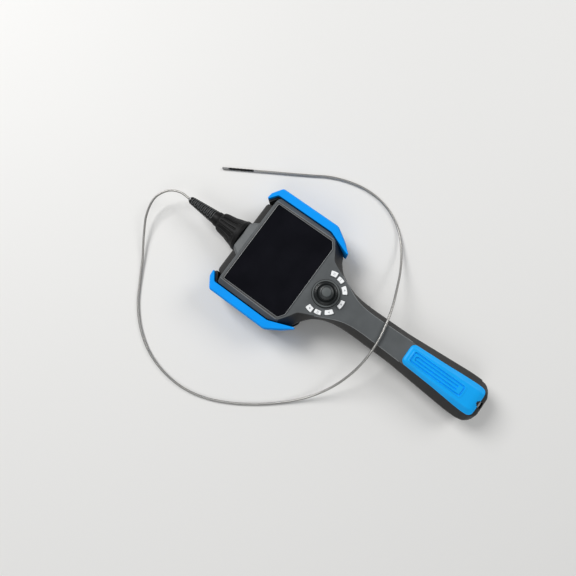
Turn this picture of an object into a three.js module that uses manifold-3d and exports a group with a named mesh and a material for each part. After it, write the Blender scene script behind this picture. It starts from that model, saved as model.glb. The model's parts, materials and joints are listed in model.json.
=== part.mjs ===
// Handheld inspection camera: a flat head with a 5 inch screen, a thumb joystick and seven keys,
// a grip, and a thin steerable insertion tube on a screwed coupling. Lies on its back, screen up.
// Millimetres. +X is to the right of someone reading the screen, +Y runs from the grip to the
// tube's coupling and +Z comes out of the screen. Plan positions are measured from the joystick's
// centre line, and heights from the surface that the camera lies on.
import * as THREE from 'three';
import { mergeVertices } from 'three/addons/utils/BufferGeometryUtils.js';
import Module from 'manifold-3d';

const wasm = await Module();
wasm.setup();

// ---------------------------------------------------------------- driving dimensions
const joystickY = 3;            // joystick centre, from the middle of the whole length
const wall = 2.4;               // moulded wall thickness
const gap = 0.3;                // clearance between neighbouring pieces
const panelZ = 46;              // the face around the screen
const partingZ = 26.1;          // joint between the front and rear shells
const headTopY = 121;           // top edge of the head
const shelfY = 110;             // where the full-height front steps down
const housingEndY = -198;       // the shells end here and the end cap starts
const gripEndY = -212;
const couplingZ = 24;           // axis of the tube coupling
const reliefEndY = 206;         // the tube leaves the strain relief's metal collar here
const tubeRadius = 1.4;

// Half widths and heights along the length, each as [y, value] and straight in between.
const outerEdge = [[121, 50], [116.5, 51.5], [109.5, 62], [37, 62], [10, 52], [3.5, 36.2], [-8, 28],
  [-22, 22.2], [-36, 20], [-50, 19.4], [-105, 20.2], [-129, 22], [-160, 24.2], [-188, 26.2], [-198, 25.8]];
const faceEdge = [[110, 55.5], [27, 56.5], [20, 46.5], [13.5, 36], [4.5, 31.5], [-8, 26.5],
  [-19, 21], [-29, 16], [-41, 13], [-56, 12], [-78, 12.5], [-112, 13.5], [-160, 15.5], [-198, 16]];
const faceHeight = [[110, 46], [-19, 46], [-29, 45], [-41, 43], [-56, 41.5], [-112, 40.5], [-198, 39]];
const shoulderHeight = [[110, 40], [27, 40], [12, 30], [4, 36], [-8, 39], [-19, 38], [-29, 35],
  [-41, 32], [-62, 29.5], [-198, 28]];
const backEdge = [[121, 40], [112, 56], [34, 56], [12, 44], [4, 30], [-8, 20], [-22, 14], [-36, 11],
  [-50, 11], [-112, 12], [-160, 14], [-198, 14]];
const backHeight = [[121, 3], [114, 0], [14, 0], [-6, 4], [-30, 7], [-62, 7], [-112, 3.5],
  [-150, 0], [-190, 0], [-198, 1.5]];
const flangeEdge = [[121, 52], [111.5, 71.3], [34.5, 71.3], [10, 53.5], [6, 46]];
const flangeTopZ = 13.7;

const glassHalf = 53;
const glassTopY = 104.7;
const glassSideY = 29;
const glassBottomY = 24;
const glassBottomHalf = 45.8;

const pivotZ = 44;              // both joystick axes cross here
const skirtRadius = 12.9;       // ball-shaped skirt under the joystick's cap
const bootRadius = 13.6;        // outside of the bellows, inside the joystick's ring
const keyAngles = [-102, -78, -45, 0, 45, 78, 102];      // from the grip's direction
const keyPlaces = { 0: [21, 9.8, 5], 45: [21.4, 9.6, 5.6], 78: [22.7, 7.8, 5.2], 102: [24.3, 7.7, 6.4] };
const keyTopZ = 47.5;

const headScrews = [[55, 99], [55, 41]];
const gripScrews = [[9, -62]];

const tipHeading = THREE.MathUtils.degToRad(120);        // the way the tube's far end points
const tipStart = [84, 166.03, 1.6];                      // where the tube ends and its ferrule starts
const linkLength = 3.6;
const linkGap = 1.0;
const linkCount = 7;
// The tube's centre line: off the coupling, down to the surface, round the left side, over the
// grip's neck and on round the head's right side.
const tubeRoute = [
  [0, 206.3, 24], [0, 221, 23.4], [-7, 236, 21.2], [-24, 246.5, 17], [-47, 244.5, 11.5],
  [-71, 232.5, 6.6], [-95, 217, 3.2], [-119, 202.5, 1.7], [-144, 186, 1.6], [-166, 164, 1.6],
  [-182.5, 137, 1.6], [-191, 107, 1.6], [-192, 76, 1.6], [-185, 46, 1.6], [-171, 17, 1.6],
  [-152, -11, 1.6], [-130, -36, 2.4], [-106, -56, 7.2], [-80, -69.5, 17.5], [-54, -76.5, 30],
  [-30, -78.5, 39.9], [-8, -77.5, 43.8], [10, -74.5, 43.8], [31, -70, 39.6], [54, -63.5, 29],
  [77, -56, 17.5], [99, -45.5, 8], [119, -30.5, 2.8], [134, -10.5, 1.6], [142.5, 13, 1.6],
  [144, 38, 1.6], [139.5, 62.5, 1.6], [131, 85, 1.6], [120, 104, 1.6], [108, 124.46, 1.6],
  tipStart];

// ---------------------------------------------------------------- materials
const finish = (color, roughness, metalness = 0) =>
  new THREE.MeshStandardMaterial({ color, roughness, metalness });
const materials = {
  greyPlastic: finish(0x5c6062, 0.55),
  blackPlastic: finish(0x2a2826, 0.6),
  blueRubber: finish(0x0099ff, 0.55),
  padRubber: finish(0x18a8f6, 0.5),
  blackRubber: finish(0x232828, 0.75),
  thumbRubber: finish(0x474b4b, 0.6),
  glass: finish(0x0c0c14, 0.08),
  bezel: finish(0x6f7375, 0.4),
  whiteKey: finish(0xdfe0e0, 0.45),
  board: finish(0x1f5a34, 0.6),
  panel: finish(0x8f9398, 0.4, 0.5),
  steel: finish(0xb4b6b8, 0.35, 1),
  brass: finish(0xb8934a, 0.35, 1),
  cell: finish(0x6b7d8c, 0.5),
  tube: finish(0x9a968f, 0.45, 0.6),
  lens: finish(0x101828, 0.05),
  lamp: finish(0xf4f1d8, 0.3),
};

// ---------------------------------------------------------------- geometry helpers
// Merges shared corners, drops triangles without area and turns the faces outwards.
function closed(geometry) {
  const bare = new THREE.BufferGeometry();
  bare.setAttribute('position', geometry.getAttribute('position'));
  if (geometry.index) bare.setIndex(geometry.index);
  const merged = mergeVertices(bare, 1e-3);
  const p = merged.getAttribute('position');
  const old = merged.index.array;
  const kept = [];
  let volume = 0;
  const [a, b, c] = [new THREE.Vector3(), new THREE.Vector3(), new THREE.Vector3()];
  for (let i = 0; i < old.length; i += 3) {
    const [u, v, w] = [old[i], old[i + 1], old[i + 2]];
    if (u === v || v === w || u === w) continue;
    kept.push(u, v, w);
    volume += a.fromBufferAttribute(p, u).dot(b.fromBufferAttribute(p, v).cross(c.fromBufferAttribute(p, w)));
  }
  if (volume < 0) kept.reverse();
  merged.setIndex(kept);
  return merged;
}

function toSolid(geometry) {
  const shape = closed(geometry);
  return new wasm.Manifold(new wasm.Mesh({
    numProp: 3,
    vertProperties: new Float32Array(shape.getAttribute('position').array),
    triVerts: new Uint32Array(shape.index.array),
  }));
}

function fromSolid(solid) {
  const mesh = solid.getMesh();
  const geometry = new THREE.BufferGeometry();
  geometry.setAttribute('position', new THREE.BufferAttribute(mesh.vertProperties, 3));
  geometry.setIndex(new THREE.BufferAttribute(mesh.triVerts, 1));
  return geometry;
}

const join = (first, ...rest) =>
  fromSolid(rest.reduce((whole, piece) => whole.add(toSolid(piece)), toSolid(first)));
const cut = (first, ...rest) =>
  fromSolid(rest.reduce((whole, piece) => whole.subtract(toSolid(piece)), toSolid(first)));

// The value of a [y, value] line at y.
function along(line, y) {
  const last = line[line.length - 1];
  if (y >= line[0][0]) return line[0][1];
  if (y <= last[0]) return last[1];
  const i = line.findIndex(([at]) => at <= y);
  const [y1, v1] = line[i - 1];
  const [y2, v2] = line[i];
  return v1 + (v2 - v1) * (y1 - y) / (y1 - y2);
}

// Every y between two limits where one of the lines has a corner, both limits included.
function stationsOf(lines, from, to) {
  const all = lines.flat().map(([y]) => y).filter(y => y < from - 0.2 && y > to + 0.2);
  return [from, ...[...new Set(all)].sort((a, b) => b - a), to];
}

// A body that is symmetric about X = 0: each section gives its right side as [x, z], low to high.
function symmetricLoft(sections) {
  const n = sections[0].side.length;
  const ring = 2 * n;
  const points = [];
  for (const { y, side } of sections) {
    for (const [x, z] of side) points.push(x, y, z);
    for (const [x, z] of [...side].reverse()) points.push(-x, y, z);
  }
  const faces = [];
  const quad = (a, b, c, d) => faces.push(a, b, c, a, c, d);
  for (let s = 0; s < sections.length - 1; s++) {
    for (let k = 0; k < ring; k++) {
      const next = (k + 1) % ring;
      quad(s * ring + k, s * ring + next, (s + 1) * ring + next, (s + 1) * ring + k);
    }
  }
  const end = (sections.length - 1) * ring;
  for (let k = 0; k < n - 1; k++) {
    quad(k, ring - 1 - k, ring - 2 - k, k + 1);
    quad(end + k, end + k + 1, end + ring - 2 - k, end + ring - 1 - k);
  }
  const geometry = new THREE.BufferGeometry();
  geometry.setAttribute('position', new THREE.Float32BufferAttribute(points, 3));
  geometry.setIndex(faces);
  return geometry;
}

// A flat outline in plan, raised from z0 to z1.
function plate(outline, z0, z1) {
  const shape = outline.isShape ? outline : new THREE.Shape(outline.map(([x, y]) => new THREE.Vector2(x, y)));
  const geometry = new THREE.ExtrudeGeometry(shape, { depth: z1 - z0, bevelEnabled: false, curveSegments: 4 });
  return geometry.translate(0, 0, z0);
}

const box = (x0, x1, y0, y1, z0, z1) =>
  new THREE.BoxGeometry(x1 - x0, y1 - y0, z1 - z0).translate((x0 + x1) / 2, (y0 + y1) / 2, (z0 + z1) / 2);
const mirroredOutline = outline => outline.map(([x, y]) => [-x, y]).reverse();
const spin = (profile, sides) =>
  new THREE.LatheGeometry(profile.map(([r, h]) => new THREE.Vector2(r, h)), sides);
const turnedUp = (profile, sides = 28) => spin(profile, sides).rotateX(Math.PI / 2);
const turnedAlongY = (profile, sides = 24) => spin(profile, sides);
// A round bar between two heights of the same axis, standing up or lying along Y.
const post = (r, z0, z1, sides = 20) => turnedUp([[0, z0], [r, z0], [r, z1], [0, z1]], sides);
const rod = (r, y0, y1, sides = 20) => turnedAlongY([[0, y0], [r, y0], [r, y1], [0, y1]], sides);

const device = new THREE.Group();
device.position.y = joystickY;
function add(name, geometry, material, parent = device) {
  const mesh = new THREE.Mesh(closed(geometry), material);
  mesh.name = name;
  parent.add(mesh);
  return mesh;
}

// ---------------------------------------------------------------- shells
// The front shell's outside, moved in by inset, standing on bottomZ.
function frontBody(inset, bottomZ, topInset = () => inset) {
  const top = headTopY - inset;
  const step = shelfY - inset;
  const sections = [];
  const shelf = y => {
    const w = along(outerEdge, y) - inset;
    return { y, side: [[w, bottomZ], [w, 29 - inset], [w - 1.5, 30.5 - inset]] };
  };
  for (const y of stationsOf([outerEdge], top, step + 0.4)) sections.push(shelf(y));
  for (const y of stationsOf([outerEdge, faceEdge, faceHeight, shoulderHeight], step, housingEndY + inset)) {
    const w = along(outerEdge, y) - inset;
    const t = along(faceEdge, y) - inset * 0.6;
    sections.push({
      y,
      side: [[w, bottomZ], [w, along(shoulderHeight, y) - inset * 0.5],
        [t, along(faceHeight, y) - topInset(y)]],
    });
  }
  return symmetricLoft(sections);
}

// The rear shell's outside, moved in by inset, up to topZ.
function rearBody(inset, topZ) {
  const lines = [outerEdge, backEdge, backHeight];
  const sections = stationsOf(lines, headTopY - inset, housingEndY + inset).map(y => {
    const w = along(outerEdge, y) - inset;
    const low = along(backHeight, y) + inset;
    return {
      y,
      side: [[along(backEdge, y) - inset * 0.6, low], [w - 1.5, low + 9 - inset * 0.5], [w, 19], [w, topZ]],
    };
  });
  return symmetricLoft(sections);
}

// The rim around the head's back that carries the bumpers.
function rimBody(inset) {
  return symmetricLoft(stationsOf([flangeEdge], headTopY - inset, 6 + inset).map(y => {
    const w = along(flangeEdge, y) - inset;
    return { y, side: [[w - 9, inset], [w, 7], [w, flangeTopZ - inset]] };
  }));
}

function bossBody() {
  const section = (y, w, z) => ({ y, side: [[w, partingZ + 0.8], [w, z - 5], [w - 3, z]] });
  return symmetricLoft([section(120.6, 18.5, 41), section(shelfY, 25, 44), section(108.5, 25.6, 44)]);
}

const screwPlaces = [...headScrews, ...gripScrews].flatMap(([x, y]) => [[x, y], [-x, y]]);
const isHead = y => y > 0;
const couplingBore = (r, y0, y1) => rod(r, y0, y1, 32).translate(0, 0, couplingZ);

const glassOutline = grow => [[-glassHalf - grow, glassTopY + grow], [-glassHalf - grow, glassSideY - grow / 2],
  [-glassBottomHalf - grow / 2, glassBottomY - grow], [glassBottomHalf + grow / 2, glassBottomY - grow],
  [glassHalf + grow, glassSideY - grow / 2], [glassHalf + grow, glassTopY + grow]];

// A key's outline: part of a ring around the joystick, grown by grow on every side.
function keyOutline(angle, grow) {
  const [radius, across, deep] = keyPlaces[Math.abs(angle)];
  const middle = THREE.MathUtils.degToRad(angle - 90);
  const [inner, outer] = [radius - deep / 2 - grow, radius + deep / 2 + grow];
  const steps = 3;
  const arc = (r, sign) => Array.from({ length: steps + 1 }, (_, i) => {
    const half = (across / 2 + grow) / radius;
    const a = middle + sign * half * (2 * i / steps - 1);
    return [r * Math.cos(a), r * Math.sin(a)];
  });
  return [...arc(outer, 1), ...arc(inner, -1)];
}

function buildShells() {
  const thickTop = [[110, 3.9], [15, 3.9], [10, wall], [-198, wall]];
  const pillarFoot = 13.7;
  const pillars = screwPlaces.map(([x, y]) =>
    post(3.3, pillarFoot, isHead(y) ? 43 : 36.5, 12).translate(x, y, 0));
  const frontOuter = join(frontBody(0, partingZ + 0.8), bossBody());
  const hollow = cut(frontOuter, frontBody(wall, 15, y => along(thickTop, y)));
  const front = cut(join(hollow, ...pillars),
    plate(glassOutline(0.4), 44.1, 60),
    box(-50, 50, 28, 101, 38, 50),
    post(13.9, 30, 60, 32),
    couplingBore(12.4, 104, 130),
    couplingBore(15.4, 104, headTopY - wall),
    ...keyAngles.map(angle => plate(keyOutline(angle, gap), 38, 60)),
    ...screwPlaces.map(([x, y]) => post(1.8, 5, 29, 10).translate(x, y, 0)));
  add('front_housing', front, materials.greyPlastic);

  const rearOuter = join(rearBody(0, partingZ - 0.8), rimBody(0));
  const padTops = screwPlaces.map(([x, y]) =>
    post(5, along(backHeight, y) + 1, pillarFoot - gap, 12).translate(x, y, 0));
  const counterbores = screwPlaces.flatMap(([x, y]) => {
    const low = along(backHeight, y);
    return [post(3.2, low - 1, low + 3.1, 16), post(1.8, low, 20, 10)].map(g => g.translate(x, y, 0));
  });
  const rear = cut(join(cut(rearOuter, rearBody(wall, 40), rimBody(wall)), ...padTops,
    post(9, 1, 12, 16).translate(0, 45, 0)),
    ...counterbores,
    couplingBore(12.4, 104, 130),
    couplingBore(15.4, 104, headTopY - wall),
    post(5.8, -1, 10.3, 16).translate(0, 45, 0));
  add('rear_housing', rear, materials.blackPlastic);

  const band = (inset, z0, z1) => symmetricLoft(stationsOf([outerEdge], headTopY - inset, housingEndY + inset)
    .map(y => ({ y, side: [[along(outerEdge, y) - inset, z0], [along(outerEdge, y) - inset, z1]] })));
  add('housing_seal', cut(band(0.6, partingZ - 0.5, partingZ + 0.5), band(1.9, 20, 32),
    couplingBore(12.7, 104, 130)), materials.blackRubber);
}

function buildScrewsAndBush() {
  screwPlaces.forEach(([x, y], i) => {
    const low = along(backHeight, y) + 0.6;
    const body = turnedUp([[0, low], [2.8, low], [2.8, low + 2.1], [1.4, low + 2.1], [1.4, low + 18],
      [0, low + 18]], 12);
    const socket = post(1.3, low - 1, low + 1.4, 6);
    add(`housing_screw_${i + 1}`, cut(body, socket), materials.steel).position.set(x, y, 0);
  });
  add('tripod_bush', turnedUp([[3.2, 0.3], [5.5, 0.3], [5.5, 10], [3.2, 10], [3.2, 0.3]], 16), materials.brass)
    .position.set(0, 45, 0);
}

// ---------------------------------------------------------------- screen and electronics
function buildScreen() {
  add('screen_glass', plate(glassOutline(0), panelZ - 1.6, panelZ), materials.glass);
  const frame = cut(plate(glassOutline(1.6), panelZ + gap, panelZ + 1), plate(glassOutline(gap), 40, 60));
  add('bezel_frame', frame, materials.bezel);
  add('lcd_module', box(-50.6, 50.6, 27.5, 102, 38.2, 41.8), materials.panel);
}

function buildElectronics() {
  const chips = [[-30, 60, 8], [0, 52, 14], [26, 58, 10], [-18, 38, 9], [30, 38, 7]].map(([x, y, s]) =>
    box(x - s / 2, x + s / 2, y - s / 2, y + s / 2, 21, 23.4));
  add('main_board', join(box(-44, 44, 30, 68, 20, 21.6), ...chips), materials.board);
  const arc = new THREE.Shape();
  const [start, end] = [-205, 25].map(THREE.MathUtils.degToRad);
  arc.absarc(0, 0, 25.2, start, end, false);
  arc.absarc(0, 0, 15, end, start, true);
  const boardGeometry = new THREE.ExtrudeGeometry(arc, { depth: 1.6, bevelEnabled: false, curveSegments: 20 });
  add('keypad_board', boardGeometry.translate(0, 0, 39.4), materials.board);
  [-9.6, 9.6].forEach((x, i) =>
    add(`battery_cell_${i + 1}`, rod(9.1, -194, -129), materials.cell).position.set(x, 0, 20));
}

// Two geared motors, each winding a pair of steering wires on a drum.
function buildSteering() {
  [-24, 24].forEach((x, i) => {
    const motor = turnedAlongY([[0, 68], [6.5, 68], [7.5, 70], [7.5, 96], [3, 96], [3, 98], [0, 98]], 16);
    add(`steering_motor_${i + 1}`, motor, materials.steel).position.set(x, 0, 18);
    const drum = turnedAlongY([[0, 98.4], [6.5, 98.4], [6.5, 99.4], [5.2, 100], [5.2, 103], [6.5, 103.6],
      [6.5, 104.6], [0, 104.6]], 16);
    add(`wire_drum_${i + 1}`, drum, materials.brass).position.set(x, 0, 18);
  });
}

// ---------------------------------------------------------------- joystick and keys
// A point on a circle around the pivot, at an angle off vertical, and a run of them.
function ballPoint(radius, angle) {
  const a = THREE.MathUtils.degToRad(angle);
  return [radius * Math.sin(a), pivotZ + radius * Math.cos(a)];
}
const ballArc = (radius, from, to, steps) =>
  Array.from({ length: steps + 1 }, (_, i) => ballPoint(radius, from + (to - from) * i / steps));

function buildJoystick() {
  const ring = [[14, panelZ + gap], [16.9, panelZ + gap], [16.9, 48.4], [16, 49.4], [14.8, 49.4], [14, 48.6]];
  add('joystick_ring', turnedUp([...ring, ring[0]], 36), materials.blackRubber);

  // Bellows: three rounded folds over the skirt, open in the middle.
  const inside = ballArc(skirtRadius + 0.5, 46.5, 79, 4);
  const folds = [[78, 68], [67, 57], [56, 47]].flatMap(([low, high]) =>
    [ballPoint(14.4, low), ballPoint(15.2, (low + high) / 2), ballPoint(14.4, high)]);
  const boot = [...inside, ...folds.map(([r, z]) => [Math.min(r, bootRadius), z])];
  add('joystick_boot', turnedUp([...boot, boot[0]], 28), materials.blackRubber);

  const skirt = [...ballArc(skirtRadius, 15, 78, 6), ...ballArc(skirtRadius - 1.3, 78, 16.8, 6)];
  add('joystick_skirt', turnedUp([...skirt, skirt[0]], 28), materials.blackRubber);

  const block = post(4.6, pivotZ - 2.4, pivotZ + 2.4);
  const shaft = turnedUp([[0, 37.9], [2.3, 37.9], [2.3, pivotZ], [3, 47], [3, 57.7], [0, 57.7]], 16);
  const pin = rod(1.2, -7.4, 7.4, 12).rotateZ(Math.PI / 2).translate(0, 0, pivotZ);
  add('joystick_stem', join(block, shaft, pin), materials.steel);
  add('stick_magnet', post(2.9, 34.8, 37.6, 12), materials.panel);
  add('joystick_cap', turnedUp([[0, 58], [6.6, 58], [7.7, 59], [8, 60.4], [7.4, 61.8], [5.6, 62.8], [3, 63.3],
    [0, 63.4]], 24), materials.thumbRubber);

  const ringBody = turnedUp([[5.7, pivotZ - 2], [8.3, pivotZ - 2], [8.3, pivotZ + 2], [5.7, pivotZ + 2],
    [5.7, pivotZ - 2]], 24);
  const trunnions = [-1, 1].map(side =>
    rod(1.2, 7, 10.2, 12).rotateZ(side > 0 ? 0 : Math.PI).translate(0, 0, pivotZ));
  const bearing = rod(1.5, -9, 9, 12).rotateZ(Math.PI / 2).translate(0, 0, pivotZ);
  add('joystick_gimbal', join(cut(ringBody, bearing), ...trunnions), materials.steel);

  const posts = [-1, 1].map(side => box(-2, 2, side > 0 ? 8.8 : -10.7, side > 0 ? 10.7 : -8.8, 32, pivotZ + 2));
  const bearings = rod(1.5, -12, 12, 12).translate(0, 0, pivotZ);
  add('joystick_bracket', cut(join(post(12.5, 31.5, 33.5, 24), ...posts), bearings), materials.panel);
}

function buildKeys() {
  keyAngles.forEach((angle, i) => {
    const cap = plate(keyOutline(angle, 0), 42.8, keyTopZ);
    const flange = plate(keyOutline(angle, 0.7), 42, 43);
    add(`key_${i + 1}`, join(cap, flange), materials.whiteKey);
  });
}

// ---------------------------------------------------------------- bumpers and grip
function buildBumpers() {
  const outline = [[56, 125.6], [74, 113.1], [74, 33.8], [62.6, 16], [53, 5.4], [51.8, 7.2], [63.2, 36.6],
    [63.2, 113.2], [52.7, 120.8]];
  const slope = [[76, 128], [76, 2], [56, 2], [61.4, 15.2], [72.2, 34.3], [72.2, 112.4], [55.6, 124.2],
    [55.6, 128]];
  for (const [side, turn] of [['right', points => points], ['left', mirroredOutline]]) {
    const body = plate(turn(outline), flangeTopZ + gap, 42);
    add(`bumper_${side}`, cut(body, plate(turn(slope), 40.5, 43)), materials.blueRubber);
  }
}

// The end cap's sections: half width, half width of the top and height of the top along y.
const capStations = [[-205, 24.6, 15.5, 38.2], [-210, 20.5, 12, 35.5]];
const capSections = grow =>
  [[housingEndY - gap + grow, 25.8, 16, 39], ...capStations, [gripEndY - grow, 17, 9, 32]].map(([y, w, t, top]) => ({
    y,
    side: [[w - 12, 1.5 - grow + (39 - top) * 0.4], [w - 1.5 + grow, 9], [w + grow, 19], [w + grow, 26],
      [t + grow, top + grow]],
  }));

// How high the front shell's sloping flank is, x away from the middle.
function flankHeight(x, y) {
  const [w, t] = [along(outerEdge, y), along(faceEdge, y)];
  const shoulder = along(shoulderHeight, y);
  return shoulder + (along(faceHeight, y) - shoulder) * Math.min(1, (w - x) / (w - t));
}

function buildGrip() {
  const notchHalf = 3.6;
  const notchEndY = gripEndY + 8;
  const notch = box(-notchHalf, notchHalf, gripEndY - 2, notchEndY, 22, 45);
  add('end_cap', cut(symmetricLoft(capSections(0)), notch), materials.blackPlastic);
  const barHalf = notchHalf - gap;
  add('lanyard_bar', rod(1.1, -barHalf, barHalf, 10).rotateZ(Math.PI / 2).translate(0, gripEndY + 5, 34.8),
    materials.steel);

  // The pad lies over the grip's top and the upper part of its flanks.
  const padEdge = [[-110.5, 9], [-112, 11.2], [-115, 12.8], [-150, 14.2], [-190, 17], [-200, 17.2],
    [-204, 15], [-206, 12]];
  const padTopEdge = [[-110.5, 5.5], [-114, 8.8], [-190, 11], [-202, 10], [-206, 6]];
  const padRise = [[-110.5, 0.8], [-113, 2.6], [-194, 2.8], [-199, 2.3], [-202.5, 0.9], [-206, -0.9]];
  const sections = stationsOf([padEdge, padTopEdge, padRise], -110.5, -206).map(y => {
    const [edge, rise] = [along(padEdge, y), along(padRise, y)];
    return { y, side: [[edge, 20], [edge, flankHeight(edge, y) + Math.min(0.9, rise)],
      [along(padTopEdge, y), along(faceHeight, y) + rise]] };
  });
  const padNotch = box(-notchHalf, notchHalf, gripEndY - 2, notchEndY + 1.5, 20, 50);
  add('grip_pad', cut(symmetricLoft(sections), frontBody(-gap, 10), symmetricLoft(capSections(gap)), padNotch),
    materials.padRubber);
}

// ---------------------------------------------------------------- coupling and strain relief
function buildCoupling() {
  const coupling = new THREE.Group();
  coupling.position.z = couplingZ;
  device.add(coupling);
  const ringOf = points => turnedAlongY([...points, points[0]]);
  const socket = [[8.4, 106], [12, 106], [12, 113], [15, 113], [15, 118.2], [12, 118.2], [12, 124], [8.4, 124]];
  const plug = [[2, 110], [8, 110], [8, 124.4], [11.8, 124.4], [11.8, 129], [8.3, 129], [8.3, 157.7], [2, 157.7]];
  add('coupling_socket', ringOf(socket), materials.steel, coupling);
  add('coupling_plug', ringOf(plug), materials.steel, coupling);

  // The ring's barrel is fluted: every other facet column is let in.
  const flutes = 18;
  const ring = ringOfSides([[19.4, 121.6], [20, 123.2], [20, 126], [17.6, 131], [16.4, 136], [14.9, 140],
    [12.9, 152], [11.4, 156], [8.7, 156], [8.7, 151], [12.4, 151], [12.4, 121.6]], flutes * 2);
  const p = ring.getAttribute('position');
  for (let i = 0; i < p.count; i++) {
    const [x, y, z] = [p.getX(i), p.getY(i), p.getZ(i)];
    const column = Math.round(Math.atan2(x, z) / (Math.PI / flutes));
    const outside = Math.hypot(x, z) > 12.5;
    if (outside && y > 130 && y < 153 && Math.abs(column) % 2 === 1) {
      p.setXYZ(i, x * 0.93, y, z * 0.93);
    }
  }
  add('coupling_ring', ring, materials.blackRubber, coupling);

  // The relief tapers, has raised rings along its length and ends in a metal collar.
  const profile = [[0, 158], [9, 158], [9, 162]];
  const [firstRib, pitch, ribs] = [164, 7, 5];
  const collarY = reliefEndY - 3.4;
  for (let i = 0; i < ribs; i++) {
    const y = firstRib + i * pitch;
    const r = 8.3 - 0.55 * i;
    profile.push([r - 0.9, y], [r, y + 1], [r, y + 4], [r - 0.9, y + 5]);
  }
  profile.push([4.6, collarY], [0, collarY]);
  add('strain_relief', turnedAlongY(profile, 16), materials.blackRubber, coupling);
  const collar = [[0, collarY + gap], [4, collarY + gap], [3.8, 204.2], [2, reliefEndY], [0, reliefEndY]];
  add('relief_collar', turnedAlongY(collar, 16), materials.steel, coupling);
}

function ringOfSides(points, sides) {
  return turnedAlongY([...points, points[0]], sides);
}

// ---------------------------------------------------------------- insertion tube and its steerable end
function buildTube() {
  const path = new THREE.CatmullRomCurve3(tubeRoute.map(point => new THREE.Vector3(...point)));
  path.arcLengthDivisions = 2000;
  const section = new THREE.Shape(Array.from({ length: 8 }, (_, i) => {
    const a = (i + 0.5) * Math.PI / 4;
    return new THREE.Vector2(tubeRadius * Math.cos(a), tubeRadius * Math.sin(a));
  }));
  add('insertion_tube', new THREE.ExtrudeGeometry(section, { steps: 78, bevelEnabled: false, extrudePath: path }),
    materials.tube);

  // Everything past the tube lies along +Y of this group.
  const end = new THREE.Group();
  end.position.set(...tipStart);
  end.rotation.z = tipHeading - Math.PI / 2;
  device.add(end);
  add('tube_ferrule', rod(tubeRadius, gap, 5, 10), materials.steel, end);
  const pitch = linkLength + linkGap;
  for (let i = 0; i < linkCount; i++) {
    const start = 5 + linkGap + i * pitch;
    add(`bend_link_${i + 1}`, rod(tubeRadius, start, start + linkLength, 10), materials.steel, end);
  }
  const tipY = 5 + linkGap + linkCount * pitch;
  const tipEnd = tipY + 8.5;
  const lensPocket = rod(0.75, tipEnd - 1.2, tipEnd + 1, 10);
  const lampPockets = [-1, 1].map(side => rod(0.26, tipEnd - 0.8, tipEnd + 1, 8).translate(side * 1.03, 0, 0));
  add('distal_tip', cut(rod(tubeRadius, tipY, tipEnd, 16), lensPocket, ...lampPockets), materials.steel, end);
  add('tip_lens', rod(0.5, tipEnd - 0.9, tipEnd - 0.1, 10), materials.lens, end);
  [-1, 1].forEach((side, i) => add(`tip_light_${i + 1}`,
    rod(0.17, tipEnd - 0.6, tipEnd - 0.05, 8).translate(side * 1.03, 0, 0), materials.lamp, end));
}

buildShells();
buildScrewsAndBush();
buildScreen();
buildElectronics();
buildSteering();
buildJoystick();
buildKeys();
buildBumpers();
buildGrip();
buildCoupling();
buildTube();

const camera = new THREE.Group();
camera.add(device);
export default camera;
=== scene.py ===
"""Handheld inspection camera, lying screen up, with its insertion tube in one loop around it.

Lengths are in millimetres: x to the right of the middle line, y from the joystick towards the tube's
outlet, z up from the surface. place() turns a point into the frame's metres.
"""
import json
from math import cos, degrees, pi, radians, sin, sqrt

import bmesh
import bpy
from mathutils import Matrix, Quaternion, Vector


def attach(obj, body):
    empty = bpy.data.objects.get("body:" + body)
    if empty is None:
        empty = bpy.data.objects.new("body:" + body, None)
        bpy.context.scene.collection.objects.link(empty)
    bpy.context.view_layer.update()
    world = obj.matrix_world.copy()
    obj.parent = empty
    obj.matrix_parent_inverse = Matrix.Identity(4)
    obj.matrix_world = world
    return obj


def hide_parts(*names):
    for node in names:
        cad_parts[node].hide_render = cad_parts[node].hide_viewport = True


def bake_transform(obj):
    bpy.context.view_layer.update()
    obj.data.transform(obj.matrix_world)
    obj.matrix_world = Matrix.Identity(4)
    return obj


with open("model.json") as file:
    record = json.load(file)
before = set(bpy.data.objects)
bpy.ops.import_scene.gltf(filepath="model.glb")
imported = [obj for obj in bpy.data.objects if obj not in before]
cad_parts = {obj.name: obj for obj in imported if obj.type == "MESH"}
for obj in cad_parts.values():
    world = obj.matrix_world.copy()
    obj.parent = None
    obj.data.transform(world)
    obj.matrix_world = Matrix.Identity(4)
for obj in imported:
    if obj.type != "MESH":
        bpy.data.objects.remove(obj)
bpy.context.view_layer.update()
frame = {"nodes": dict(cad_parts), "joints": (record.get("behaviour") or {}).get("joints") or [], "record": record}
scene = bpy.context.scene
scene.view_settings.view_transform = "Standard"

MM = 0.001
joints = {joint["name"]: joint for joint in frame["joints"]}
JOYSTICK_Y = joints["joystick_side_tilt"]["pos_m"][1] / MM
PIVOT_Z = joints["joystick_side_tilt"]["pos_m"][2] / MM
COUPLING_Z = joints["coupling_turn"]["pos_m"][2] / MM

PANEL_Z = 46.0
PARTING_Z = 26.1
HEAD_TOP_Y = 121.0
SHELF_Y = 110.0
HOUSING_END_Y = -198.0
GRIP_END_Y = -212.0
BOSS_END_Y = 120.6
WALL = 2.4
TUBE_DIAMETER = 2.8
COUPLING = {"centre": (0, 0, COUPLING_Z), "axis": "Y"}


def place(x, y, z):
    """That point in the frame's metres."""
    return Vector((x * MM, (y + JOYSTICK_Y) * MM, z * MM))


def add_object(name, data):
    made = bpy.data.objects.new(name, data)
    scene.collection.objects.link(made)
    return made


# -------- camera, floor and light
CAMERA_AZIMUTH = -32.53
CAMERA_ELEVATION = 82.53
CAMERA_ROLL = -21.39
CAMERA_DISTANCE = 534.2
CAMERA_LENS = 24.21
CAMERA_TARGET = (-13.14, 48.74, -47.8)


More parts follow.
